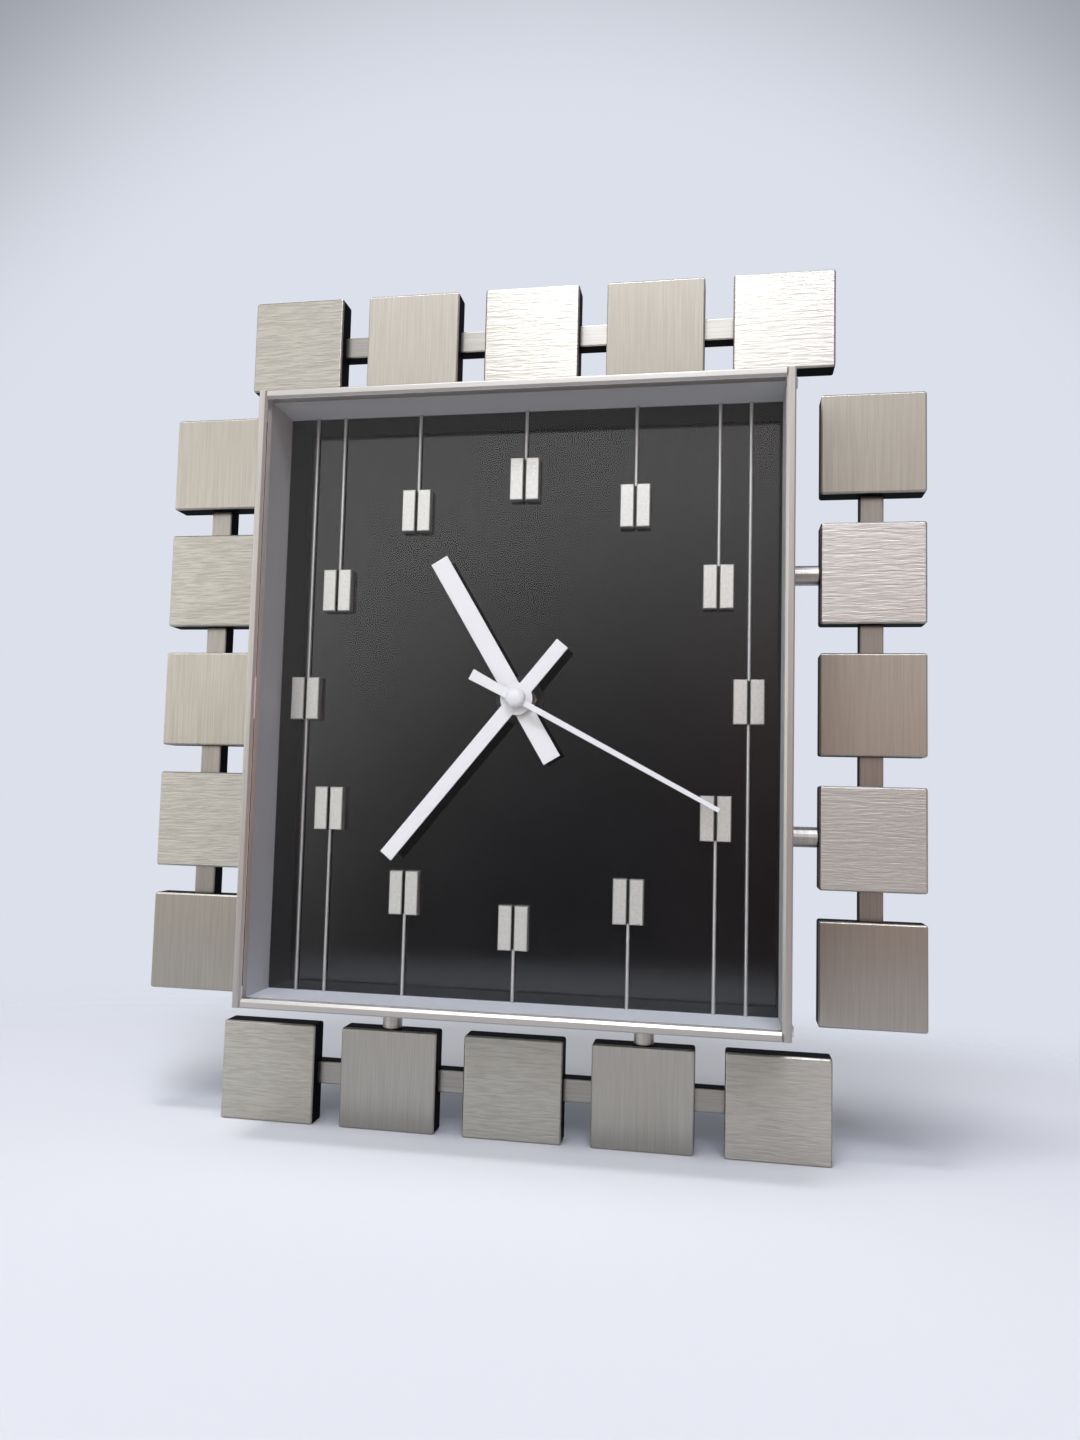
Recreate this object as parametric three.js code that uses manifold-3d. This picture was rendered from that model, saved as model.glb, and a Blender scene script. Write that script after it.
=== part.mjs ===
// Wall clock: an open aluminium box frame with a glass front and a black dial, ringed by
// twenty square plates that ride on four flat rails and stand off the frame on turned pins.
// Millimetres. +X right, +Z up, the front faces -Y. The wall is the plane y = 0, and the
// origin is the middle of the hanger plate's rear face, where the wall holds the clock.

import * as THREE from 'three';
import { mergeVertices } from 'three/addons/utils/BufferGeometryUtils.js';
import Module from 'manifold-3d';

const wasm = await Module();
wasm.setup();

// Ring of square plates
const plateSide = 40;
const plateThick = 10;
const plateGap = 11.5;
const platesPerSide = 5;
const plateCorner = 0.9;
const plateBevel = 0.6;
const plateSetback = 29.4;

// Flat rails behind the plates
const railWidth = 9;
const railThick = 7.5;
const railSink = 5;
const railBevel = 0.4;
const railEndCover = 6;
const railClear = 0.15;

// Turned pins between the frame and the second and fourth plates
const pinDiameter = 8;
const spigotDiameter = 5;
const spigotInPlate = 6;
const spigotClear = 0.1;
const pinBevel = 0.4;

// Frame: four flat strips, the uprights full height
const frameWidth = 212;
const wallThick = 3.4;
const rimChamferInside = 0.9;
const rimChamferOutside = 0.5;
const grooveDepth = 1.1;
const grooveClear = 0.1;

// Glass and dial panel, held in the frame's grooves
const glassRecess = 1.4;
const glassThick = 4;
const dialRecess = 26.2;
const dialThick = 3;
const panelEdgeClear = 0.2;

// Hour markers and their rods
const markerWidth = 12;
const markerHeight = 17.5;
const markerThick = 4;
const markerGroove = 1;
const markerGrooveDepth = 2.3;
const markerBevel = 0.35;
const markerWallMargin = 6.2;
const rodDiameter = 1.5;
const rodDialClear = 0.05;
const rodSeatDepth = 1;
const rodSeatClear = 0.1;

// Movement
const movementSide = 56;
const movementDepth = 16;
const movementCorner = 6;
const movementBevel = 1;
const movementRearRoom = 4.8;
const bushDiameter = 9.6;
const bushReach = 4.6;
const bushBore = 5.8;
const bushBevel = 0.4;
const dialHoleClear = 0.2;
const nutClear = 0.12;
const nutFlangeDiameter = 19.4;
const nutFlangeThick = 1;
const nutAcrossFlats = 13;
const nutThick = 2.4;

// Battery, an AA cell, and its bay
const cellDiameter = 14.2;
const cellLength = 49.2;
const cellNubDiameter = 5.5;
const cellNubLength = 1.1;
const cellEdge = 0.6;
const cellClear = 0.25;
const cellContactRoom = 1.1;
const cellDrop = 16.5;

// Knob that sets the hands
const knobDiameter = 14;
const knobRidges = 20;
const knobRidgeDepth = 0.45;
const knobWallClear = 1.6;
const knobRunClear = 0.4;
const knobRecessDepth = 1.2;
const knobRecessClear = 0.8;
const knobShaftDiameter = 3.6;
const knobShaftClear = 0.12;
const knobShaftLength = 9;
const knobDishRim = 1.6;
const knobDishDepth = 1.4;
const knobGripWidth = 2.2;
const knobAside = -13;
const knobAbove = 12;
const notchDiameter = 18;
const notchDepth = 6;

// Nested arbors of the hands
const hourPipeDiameter = 5.2;
const hourPipeBore = 3.6;
const minutePipeDiameter = 3.3;
const minutePipeBore = 1.5;
const secondArborDiameter = 1.2;
const arborRoot = 9;
const arborStep = 1.5;
const arborEndRoom = 0.5;
const handFit = 0.06;

// Hands: sheet metal, and how far each one's tip stays inside the marker circle
const handThick = 0.8;
const handBevel = 0.12;
const handRise = 5.6;
const handSpacing = 1.6;
const pipeProud = 0.4;
const hourHandWidth = 7.5;
const hourTipInset = 24.4;
const hourTail = 28;
const hourHubDiameter = 12;
const minuteHandWidth = 5.8;
const minuteTipInset = 8.6;
const minuteTail = 28.5;
const minuteHubDiameter = 13;
const secondTipWidth = 1.7;
const secondRootWidth = 2.4;
const secondTipInset = 0.4;
const secondTail = 20.4;
const secondTailRootWidth = 3.4;
const secondTailEndWidth = 4.5;
const secondCapDiameter = 8;
const secondCapHeight = 3.6;
const secondCapSkirt = 1.2;

// Where the hands point, clockwise from twelve, in degrees
const hourAngle = 329;
const minuteAngle = 219.1;
const secondAngle = 117.8;

// Hanger plate: an angle under the frame's top strip, with two keyholes
const hangerWidth = 76;
const hangerHeight = 25;
const hangerThick = 2;
const hangerFlange = 14;
const keyholeSpacing = 40;
const keyholeHeadDiameter = 9.5;
const keyholeSlotWidth = 5.2;
const keyholeSlotLength = 7.5;
const keyholeDrop = 4.5;

// Facets in a full circle
const fineRound = 32;
const pinRound = 16;
const smallRound = 12;
const domeSteps = 6;
const ridgeSteps = 4;
const plateCornerSteps = 2;
const movementCornerSteps = 4;

// Points nearer than this are one point
const weldDistance = 1e-5;

// Sizes that follow from the ones above
const pitch = plateSide + plateGap;
const frameHeight = (platesPerSide - 1) * pitch + plateSide;
const halfWidth = frameWidth / 2;
const halfHeight = frameHeight / 2;
const innerHalfWidth = halfWidth - wallThick;
const innerHalfHeight = halfHeight - wallThick;
const frameDepth = dialRecess + dialThick + movementDepth + movementRearRoom;
const rimY = -frameDepth;
const plateFrontY = rimY + plateSetback;
const plateBackY = plateFrontY + plateThick;
const pinY = plateFrontY + plateThick / 2;
const railFrontY = plateBackY - railSink;
const glassFrontY = rimY + glassRecess;
const glassBackY = glassFrontY + glassThick;
const dialFrontY = rimY + dialRecess;
const dialBackY = dialFrontY + dialThick;
const movementBackY = dialBackY + movementDepth;
const knobFrontY = movementBackY - knobRecessDepth + knobRunClear;
const spigotInWall = wallThick - grooveDepth - panelEdgeClear;
const markerRadius = innerHalfWidth - markerWallMargin - markerWidth / 2;
const rodY = dialFrontY - rodDialClear - rodDiameter / 2;
const hourHandY = dialFrontY - handRise;
const minuteHandY = hourHandY - handThick - handSpacing;
const secondHandY = minuteHandY - handThick - handSpacing;
const arborRootY = dialBackY + arborRoot;
const secondArborRootY = arborRootY + 2 * arborStep;
const bushTipY = dialFrontY - bushReach;
const hangDrop = innerHalfHeight - hangerHeight / 2;

const frameAluminium = new THREE.MeshStandardMaterial({ color: 0xc4c0b8, metalness: 0.9, roughness: 0.35 });
const brushedPlate = new THREE.MeshStandardMaterial({ color: 0xb3ada2, metalness: 0.9, roughness: 0.4 });
const railAluminium = new THREE.MeshStandardMaterial({ color: 0x9d9c97, metalness: 0.9, roughness: 0.4 });
const turnedAluminium = new THREE.MeshStandardMaterial({ color: 0xa8a59c, metalness: 1, roughness: 0.3 });
const clearGlass = new THREE.MeshStandardMaterial({
  color: 0xe8eef0, metalness: 0, roughness: 0.03, transparent: true, opacity: 0.2,
});
const dialBlack = new THREE.MeshStandardMaterial({ color: 0x1d1d1f, metalness: 0, roughness: 0.15 });
const markerSilver = new THREE.MeshStandardMaterial({ color: 0xdcd9d0, metalness: 0.7, roughness: 0.4 });
const handWhite = new THREE.MeshStandardMaterial({ color: 0xe6e7ec, metalness: 0, roughness: 0.45 });
const brass = new THREE.MeshStandardMaterial({ color: 0xb59a5a, metalness: 1, roughness: 0.3 });
const movementBlack = new THREE.MeshStandardMaterial({ color: 0x17181a, metalness: 0, roughness: 0.55 });
const knobBlack = new THREE.MeshStandardMaterial({ color: 0x232427, metalness: 0, roughness: 0.5 });
const cellJacket = new THREE.MeshStandardMaterial({ color: 0x4a6b8c, metalness: 0.3, roughness: 0.4 });
const zincPlate = new THREE.MeshStandardMaterial({ color: 0xb9bcc0, metalness: 1, roughness: 0.35 });

// A geometry as a solid: only its positions, welded, without the slivers at a turned shape's poles
function toSolid(geometry) {
  const bare = geometry.clone();
  bare.deleteAttribute('normal');
  bare.deleteAttribute('uv');
  const merged = mergeVertices(bare, weldDistance);
  const index = merged.index.array;
  const triVerts = [];
  for (let i = 0; i < index.length; i += 3) {
    const [a, b, c] = [index[i], index[i + 1], index[i + 2]];
    if (a !== b && b !== c && c !== a) {
      triVerts.push(a, b, c);
    }
  }
  return new wasm.Manifold(new wasm.Mesh({
    numProp: 3,
    vertProperties: new Float32Array(merged.attributes.position.array),
    triVerts: new Uint32Array(triVerts),
  }));
}

function toGeometry(solid) {
  const mesh = solid.getMesh();
  const geometry = new THREE.BufferGeometry();
  geometry.setAttribute('position', new THREE.BufferAttribute(new Float32Array(mesh.vertProperties), 3));
  geometry.setIndex(new THREE.BufferAttribute(new Uint32Array(mesh.triVerts), 1));
  return geometry;
}

function join(...geometries) {
  const [first, ...rest] = geometries.map(toSolid);
  return toGeometry(rest.reduce((whole, piece) => whole.add(piece), first));
}

function cut(geometry, ...cutters) {
  return toGeometry(cutters.map(toSolid).reduce((left, cutter) => left.subtract(cutter), toSolid(geometry)));
}

function outlineShape(points) {
  return new THREE.Shape(points.map(([u, v]) => new THREE.Vector2(u, v)));
}

// A rectangle whose corners are rounded, or chamfered when a corner has one step
function rectangle(width, height, corner = 0, steps = 1) {
  const x = width / 2 - corner;
  const z = height / 2 - corner;
  const centres = [[x, -z], [x, z], [-x, z], [-x, -z]];
  if (corner === 0) {
    return outlineShape(centres);
  }
  return outlineShape(centres.flatMap(([u, v], quarter) => Array.from({ length: steps + 1 }, (_, step) => {
    const angle = (quarter - 1 + step / steps) * Math.PI / 2;
    return [u + corner * Math.cos(angle), v + corner * Math.sin(angle)];
  })));
}

function circleShape(radius) {
  return new THREE.Shape().absarc(0, 0, radius, 0, 2 * Math.PI, false);
}

// A shape drawn as seen from the front, with its back on y = 0 and its face towards -Y
function facePiece(shape, thick, bevel = 0, curveSegments = fineRound) {
  const geometry = new THREE.ExtrudeGeometry(shape, {
    depth: thick - 2 * bevel,
    curveSegments,
    bevelEnabled: bevel > 0,
    bevelSize: bevel,
    bevelOffset: -bevel,
    bevelThickness: bevel,
    bevelSegments: 1,
  });
  return geometry.translate(0, 0, bevel).rotateX(Math.PI / 2);
}

// A profile of radius and y, turned about the Y axis
function turned(points, segments = fineRound) {
  return new THREE.LatheGeometry(points.map(([r, y]) => new THREE.Vector2(r, y)), segments);
}

// A tube and round bars or holes. Those along Y run from their front end to their rear end.
function tube(outer, inner, frontY, rearY) {
  return turned([[inner, frontY], [outer, frontY], [outer, rearY], [inner, rearY], [inner, frontY]]);
}

function roundAlongY(radius, frontY, rearY, segments = fineRound) {
  return new THREE.CylinderGeometry(radius, radius, rearY - frontY, segments)
    .translate(0, (frontY + rearY) / 2, 0);
}

function roundAlongX(radius, length, segments = smallRound) {
  return new THREE.CylinderGeometry(radius, radius, length, segments).rotateZ(-Math.PI / 2);
}

function roundAlongZ(radius, length, segments = smallRound) {
  return new THREE.CylinderGeometry(radius, radius, length, segments).rotateX(Math.PI / 2);
}

function addMesh(parent, name, geometry, material, x = 0, y = 0, z = 0) {
  const mesh = new THREE.Mesh(geometry, material);
  mesh.name = name;
  mesh.position.set(x, y, z);
  parent.add(mesh);
  return mesh;
}

const wallClock = new THREE.Group();
const clock = new THREE.Group();
clock.position.z = -hangDrop;
wallClock.add(clock);

// Where the hours stand on the dial, and which way each one's rod runs
const hours = Array.from({ length: 12 }, (_, index) => {
  const hour = index + 1;
  const turn = hour * Math.PI / 6;
  const x = markerRadius * Math.sin(turn);
  const z = markerRadius * Math.cos(turn);
  const side = hour === 3 || hour === 9;
  return { hour, x, z, rodUp: side || z > 0, rodDown: side || z < 0 };
});

// One strip of the frame, drawn at the right: chamfered rim, glass groove, dial groove
function frameStrip(length, inner) {
  const groove = (frontY, backY) => [
    [inner, frontY - grooveClear],
    [inner + grooveDepth, frontY - grooveClear],
    [inner + grooveDepth, backY + grooveClear],
    [inner, backY + grooveClear],
  ];
  const outer = inner + wallThick;
  const section = outlineShape([
    [outer, 0],
    [outer, rimY + rimChamferOutside],
    [outer - rimChamferOutside, rimY],
    [inner + rimChamferInside, rimY],
    [inner, rimY + rimChamferInside],
    ...groove(glassFrontY, glassBackY),
    ...groove(dialFrontY, dialBackY),
    [inner, 0],
  ]);
  return new THREE.ExtrudeGeometry(section, { depth: length, bevelEnabled: false })
    .translate(0, 0, -length / 2);
}

// Holes in one strip: from outside for its two pins, from inside for the rods that end in it
function stripHoles(inner, rodPlaces) {
  const pinHoles = [-pitch, pitch].map((along) => (
    roundAlongX(spigotDiameter / 2 + spigotClear, 2 * (spigotInWall + spigotClear), pinRound)
      .translate(inner + wallThick, pinY, along)));
  const rodHoles = rodPlaces.map((along) => (
    roundAlongX(rodDiameter / 2 + rodSeatClear, 2 * (rodSeatDepth + rodSeatClear))
      .translate(inner, rodY, along)));
  return [...pinHoles, ...rodHoles];
}

// A square plate: bevelled face, and behind it a slot for the rail, which stops short of the
// far edge on the plates at the ends. Two plates of five have a bore for a pin.
function squarePlate(atEnd, pinned) {
  const outline = rectangle(plateSide, plateSide, plateCorner, plateCornerSteps);
  const body = facePiece(outline, plateThick, plateBevel);
  const slotLength = atEnd === 0 ? 2 * plateSide : plateSide;
  const slot = new THREE.BoxGeometry(railWidth + 2 * railClear, 2 * (railSink + railClear), slotLength)
    .translate(0, 0, -atEnd * (railEndCover - railClear));
  if (!pinned) {
    return cut(body, slot);
  }
  const bore = roundAlongX(spigotDiameter / 2 + spigotClear, 2 * (spigotInPlate + spigotClear), pinRound);
  return cut(body, slot, bore.translate(-plateSide / 2, -plateThick / 2, 0));
}

// A turned pin along X, from the frame's outer face to the plate's edge, with a spigot each end
function standoffPin() {
  const [body, spigot] = [pinDiameter / 2, spigotDiameter / 2];
  return turned([
    [0, -spigotInWall],
    [spigot, -spigotInWall],
    [spigot, 0],
    [body - pinBevel, 0],
    [body, pinBevel],
    [body, plateGap - pinBevel],
    [body - pinBevel, plateGap],
    [spigot, plateGap],
    [spigot, plateGap + spigotInPlate],
    [0, plateGap + spigotInPlate],
  ], pinRound).rotateZ(-Math.PI / 2);
}

function rail(length) {
  const section = rectangle(railWidth, railThick, railBevel);
  return new THREE.ExtrudeGeometry(section, { depth: length, bevelEnabled: false })
    .translate(0, railThick / 2, -length / 2);
}

// Each side of the clock is drawn at the right and turned about Y to its place. Plates and
// pins are counted from the top or from the left, so the order flips on two sides.
const upright = { halfSpan: halfWidth, stripLength: frameHeight, ends: ['upper', 'lower'] };
const level = { halfSpan: halfHeight, stripLength: 2 * innerHalfWidth, ends: ['left', 'right'] };
const sides = [
  { name: 'right', turn: 0, order: 1, ...upright },
  { name: 'top', turn: -Math.PI / 2, order: 1, ...level },
  { name: 'left', turn: Math.PI, order: -1, ...upright },
  { name: 'bottom', turn: Math.PI / 2, order: -1, ...level },
];

for (const { name, turn, order, halfSpan, stripLength, ends } of sides) {
  const side = new THREE.Group();
  side.rotation.y = turn;
  clock.add(side);

  const inner = halfSpan - wallThick;
  const rodsHere = { top: 'rodUp', bottom: 'rodDown' }[name];
  const rodPlaces = hours.filter((place) => place[rodsHere]).map((place) => place.x * Math.sin(turn));
  const strip = cut(frameStrip(stripLength, inner), ...stripHoles(inner, rodPlaces));
  addMesh(side, `frame_strip_${name}`, strip, frameAluminium);

  const plateX = halfSpan + plateGap + plateSide / 2;
  const last = (platesPerSide - 1) / 2;
  for (let place = 0; place < platesPerSide; place += 1) {
    const step = order * (last - place);
    const atEnd = Math.abs(step) === last ? Math.sign(step) : 0;
    const plate = squarePlate(atEnd, Math.abs(step) === 1);
    addMesh(side, `plate_${name}_${place + 1}`, plate, brushedPlate, plateX, plateBackY, step * pitch);
  }

  const railLength = 2 * last * pitch + plateSide - 2 * railEndCover;
  addMesh(side, `rail_${name}`, rail(railLength), railAluminium, plateX, railFrontY, 0);
  ends.forEach((end, index) => {
    const along = order * (index === 0 ? pitch : -pitch);
    addMesh(side, `pin_${name}_${end}`, standoffPin(), turnedAluminium, halfSpan, pinY, along);
  });
}

// Glass and dial panel reach into the grooves on all four sides
const panelWidth = 2 * (innerHalfWidth + grooveDepth - panelEdgeClear);
const panelHeight = 2 * (innerHalfHeight + grooveDepth - panelEdgeClear);
const glassPane = facePiece(rectangle(panelWidth, panelHeight), glassThick);
addMesh(clock, 'glass_pane', glassPane, clearGlass, 0, glassBackY, 0);

const dialShape = rectangle(panelWidth, panelHeight);
dialShape.holes.push(circleShape(bushDiameter / 2 + dialHoleClear));
addMesh(clock, 'dial_panel', facePiece(dialShape, dialThick), dialBlack, 0, dialBackY, 0);

// An hour marker: two bevelled bars on a common back, with the rod that carries it
function hourMarker({ z, rodUp, rodDown }) {
  const barWidth = (markerWidth - markerGroove) / 2;
  const bars = [-1, 1].map((hand) => (
    facePiece(rectangle(barWidth, markerHeight), markerThick, markerBevel)
      .translate(hand * (markerGroove + barWidth) / 2, 0, 0)));
  const webThick = markerThick - markerGrooveDepth;
  const web = facePiece(rectangle(markerGroove + barWidth, markerHeight - 2 * markerBevel), webThick);
  const bottom = rodDown ? -innerHalfHeight - rodSeatDepth - z : 0;
  const top = rodUp ? innerHalfHeight + rodSeatDepth - z : 0;
  const rod = roundAlongZ(rodDiameter / 2, top - bottom).translate(0, rodY - dialFrontY, (top + bottom) / 2);
  return join(...bars, web, rod);
}

for (const place of hours) {
  addMesh(clock, `hour_marker_${place.hour}`, hourMarker(place), markerSilver, place.x, dialFrontY, place.z);
}

// Movement: a rounded case with the threaded bush, the battery bay and the knob's recess
const bayFloorY = movementBackY - cellDiameter - 2 * cellClear;
const cellY = bayFloorY + cellClear + cellDiameter / 2;
const bayLength = cellLength + cellNubLength + 2 * cellContactRoom;

function movementCase() {
  const outline = rectangle(movementSide, movementSide, movementCorner, movementCornerSteps);
  const block = facePiece(outline, movementDepth, movementBevel).translate(0, movementBackY, 0);
  const bush = turned([
    [0, bushTipY],
    [bushDiameter / 2 - bushBevel, bushTipY],
    [bushDiameter / 2, bushTipY + bushBevel],
    [bushDiameter / 2, dialBackY + movementBevel],
    [0, dialBackY + movementBevel],
  ]);
  const fromBehind = (radius, depth) => roundAlongY(radius, movementBackY - depth, 0);
  const bore = roundAlongY(bushBore / 2, rimY, secondArborRootY + arborEndRoom);
  const bayWidth = cellDiameter + 2 * cellClear;
  const bay = new THREE.BoxGeometry(bayLength, 2 * (movementBackY - bayFloorY), bayWidth)
    .translate(0, movementBackY, -cellDrop);
  const fingerNotch = fromBehind(notchDiameter / 2, notchDepth)
    .translate(0, 0, -movementSide / 2);
  const recess = fromBehind(knobDiameter / 2 + knobRecessClear, knobRecessDepth)
    .translate(knobAside, 0, knobAbove);
  const knobBoreDepth = knobRecessDepth - knobRunClear + knobShaftLength + arborEndRoom;
  const knobBore = fromBehind(knobShaftDiameter / 2 + knobShaftClear, knobBoreDepth)
    .translate(knobAside, 0, knobAbove);
  return cut(join(block, bush), bore, bay, fingerNotch, recess, knobBore);
}

addMesh(clock, 'movement_case', movementCase(), movementBlack);

// Brass nut with a wide flange, which clamps the movement through the dial
function hubNut() {
  const flange = turned([
    [0, dialFrontY - nutFlangeThick],
    [nutFlangeDiameter / 2, dialFrontY - nutFlangeThick],
    [nutFlangeDiameter / 2, dialFrontY],
    [0, dialFrontY],
  ]);
  const cornerRadius = nutAcrossFlats / Math.sqrt(3);
  const hexagon = outlineShape(Array.from({ length: 6 }, (_, corner) => {
    const angle = corner * Math.PI / 3;
    return [cornerRadius * Math.cos(angle), cornerRadius * Math.sin(angle)];
  }));
  const nut = facePiece(hexagon, nutFlangeThick + nutThick).translate(0, dialFrontY, 0);
  const bore = roundAlongY(bushDiameter / 2 + nutClear, rimY, dialBackY);
  return cut(join(flange, nut), bore);
}

addMesh(clock, 'hub_nut', hubNut(), brass);

// The cell lies across the bay, its nub to the right as seen from the front
function batteryCell() {
  const [jacket, nub] = [cellDiameter / 2, cellNubDiameter / 2];
  return turned([
    [0, 0],
    [jacket - cellEdge, 0],
    [jacket, cellEdge],
    [jacket, cellLength - cellEdge],
    [jacket - cellEdge, cellLength],
    [nub, cellLength],
    [nub, cellLength + cellNubLength],
    [0, cellLength + cellNubLength],
  ]).rotateZ(-Math.PI / 2).translate(-(cellLength + cellNubLength) / 2, 0, 0);
}

addMesh(clock, 'battery_cell', batteryCell(), cellJacket, 0, cellY, -cellDrop);

// The setting knob: a ridged wheel, dished round a grip bar, on a shaft that runs into the case
function settingKnob() {
  const steps = ridgeSteps * knobRidges;
  const rim = outlineShape(Array.from({ length: steps }, (_, step) => {
    const angle = step / steps * 2 * Math.PI;
    const radius = knobDiameter / 2 - knobRidgeDepth * (1 - Math.cos(knobRidges * angle)) / 2;
    return [radius * Math.cos(angle), radius * Math.sin(angle)];
  }));
  const backY = -knobWallClear;
  const wheel = facePiece(rim, backY - knobFrontY).translate(0, backY, 0);
  const shaft = roundAlongY(knobShaftDiameter / 2, knobFrontY - knobShaftLength, backY - knobDishDepth);
  const dish = roundAlongY(knobDiameter / 2 - knobDishRim, backY - knobDishDepth, 0);
  const grip = new THREE.BoxGeometry(knobDiameter - 2 * knobDishRim, knobDishDepth, knobGripWidth)
    .translate(0, backY - knobDishDepth / 2, 0);
  return join(cut(join(wheel, shaft), dish), grip);
}

addMesh(clock, 'setting_knob', settingKnob(), knobBlack, knobAside, 0, knobAbove);

// The arbors of the hour and minute hands, nested pipes that end proud of their hands
const hourPipe = tube(hourPipeDiameter / 2, hourPipeBore / 2, hourHandY - handThick - pipeProud, arborRootY);
addMesh(clock, 'hour_pipe', hourPipe, brass);
const minutePipeFrontY = minuteHandY - handThick - pipeProud;
const minutePipe = tube(minutePipeDiameter / 2, minutePipeBore / 2, minutePipeFrontY, arborRootY + arborStep);
addMesh(clock, 'minute_pipe', minutePipe, brass);

// A hand drawn pointing to twelve: a flat bar with a round hub that fits on its pipe
function barHand({ width, tipInset, tail, hubDiameter, pipeDiameter }) {
  const reach = markerRadius - tipInset;
  const bar = facePiece(rectangle(width, reach + tail), handThick, handBevel)
    .translate(0, 0, (reach - tail) / 2);
  const hub = facePiece(circleShape(hubDiameter / 2), handThick, handBevel);
  const bore = roundAlongY(pipeDiameter / 2 + handFit, -2 * handThick, handThick);
  return cut(join(bar, hub), bore);
}

const hourHand = barHand({
  width: hourHandWidth,
  tipInset: hourTipInset,
  tail: hourTail,
  hubDiameter: hourHubDiameter,
  pipeDiameter: hourPipeDiameter,
});
const minuteHand = barHand({
  width: minuteHandWidth,
  tipInset: minuteTipInset,
  tail: minuteTail,
  hubDiameter: minuteHubDiameter,
  pipeDiameter: minutePipeDiameter,
});

// The second hand: a tapered blade with a widening tail, a domed cap, and its own solid arbor
function secondHand() {
  const reach = markerRadius - secondTipInset;
  const rightEdge = [
    [secondTailEndWidth / 2, -secondTail],
    [secondTailRootWidth / 2, 0],
    [secondRootWidth / 2, 0],
    [secondTipWidth / 2, reach],
  ];
  const leftEdge = rightEdge.map(([x, z]) => [-x, z]).reverse();
  const blade = facePiece(outlineShape([...rightEdge, ...leftEdge]), handThick);
  const radius = secondCapDiameter / 2;
  const domeHeight = secondCapHeight - secondCapSkirt;
  const dome = Array.from({ length: domeSteps + 1 }, (_, step) => {
    const angle = step / domeSteps * Math.PI / 2;
    return [radius * Math.sin(angle), -secondCapSkirt - domeHeight * Math.cos(angle)];
  });
  const cap = turned([...dome, [radius, 0], [0, 0]]);
  const arborRear = secondArborRootY - secondHandY;
  const arbor = roundAlongY(secondArborDiameter / 2, -secondCapSkirt, arborRear, smallRound);
  return join(blade, cap, arbor);
}

const hands = [
  { name: 'hour_hand', shape: hourHand, y: hourHandY, angle: hourAngle },
  { name: 'minute_hand', shape: minuteHand, y: minuteHandY, angle: minuteAngle },
  { name: 'second_hand', shape: secondHand(), y: secondHandY, angle: secondAngle },
];
for (const { name, shape, y, angle } of hands) {
  const hand = addMesh(clock, name, shape, handWhite, 0, y, 0);
  hand.rotation.y = THREE.MathUtils.degToRad(angle);
}

// Hanger plate: its flange under the top strip, its leg flat to the wall with two keyholes
function keyholePath(x) {
  const [head, slot] = [keyholeHeadDiameter / 2, keyholeSlotWidth / 2];
  const z = -keyholeDrop;
  const shoulder = Math.acos(slot / head);
  return new THREE.Path()
    .absarc(x, z, head, Math.PI - shoulder, 2 * Math.PI + shoulder, false)
    .absarc(x, z + keyholeSlotLength, slot, 0, Math.PI, false);
}

function hangerPlate() {
  const leg = rectangle(hangerWidth, hangerHeight);
  leg.holes.push(keyholePath(-keyholeSpacing / 2), keyholePath(keyholeSpacing / 2));
  const flange = new THREE.BoxGeometry(hangerWidth, hangerFlange, hangerThick)
    .translate(0, -hangerFlange / 2, (hangerHeight - hangerThick) / 2);
  return join(facePiece(leg, hangerThick, 0, smallRound), flange);
}

addMesh(wallClock, 'hanger_plate', hangerPlate(), zincPlate);

export default wallClock;
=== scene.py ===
import math

import bmesh
import bpy
from mathutils import Euler, Matrix, Vector


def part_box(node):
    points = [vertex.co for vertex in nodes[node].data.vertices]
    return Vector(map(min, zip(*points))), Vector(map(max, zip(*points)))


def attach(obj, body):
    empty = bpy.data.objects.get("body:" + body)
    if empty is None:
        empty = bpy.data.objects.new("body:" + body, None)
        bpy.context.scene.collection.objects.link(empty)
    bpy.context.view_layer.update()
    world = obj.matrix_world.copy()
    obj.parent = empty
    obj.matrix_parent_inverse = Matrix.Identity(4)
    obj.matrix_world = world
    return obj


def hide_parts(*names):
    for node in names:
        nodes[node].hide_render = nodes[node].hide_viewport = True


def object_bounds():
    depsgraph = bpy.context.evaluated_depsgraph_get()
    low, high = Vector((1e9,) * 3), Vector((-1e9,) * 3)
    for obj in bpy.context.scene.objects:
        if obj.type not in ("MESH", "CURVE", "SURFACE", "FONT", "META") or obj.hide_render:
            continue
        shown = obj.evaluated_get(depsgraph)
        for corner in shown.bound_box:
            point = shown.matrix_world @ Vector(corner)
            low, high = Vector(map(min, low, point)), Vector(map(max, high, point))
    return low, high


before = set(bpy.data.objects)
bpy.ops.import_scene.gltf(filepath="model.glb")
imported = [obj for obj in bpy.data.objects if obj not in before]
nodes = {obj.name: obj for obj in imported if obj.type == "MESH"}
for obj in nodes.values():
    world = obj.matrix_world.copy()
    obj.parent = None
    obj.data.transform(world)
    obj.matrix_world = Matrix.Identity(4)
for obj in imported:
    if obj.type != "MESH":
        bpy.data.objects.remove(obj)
cad_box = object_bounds()
bpy.context.scene.view_settings.view_transform = "Standard"

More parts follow.
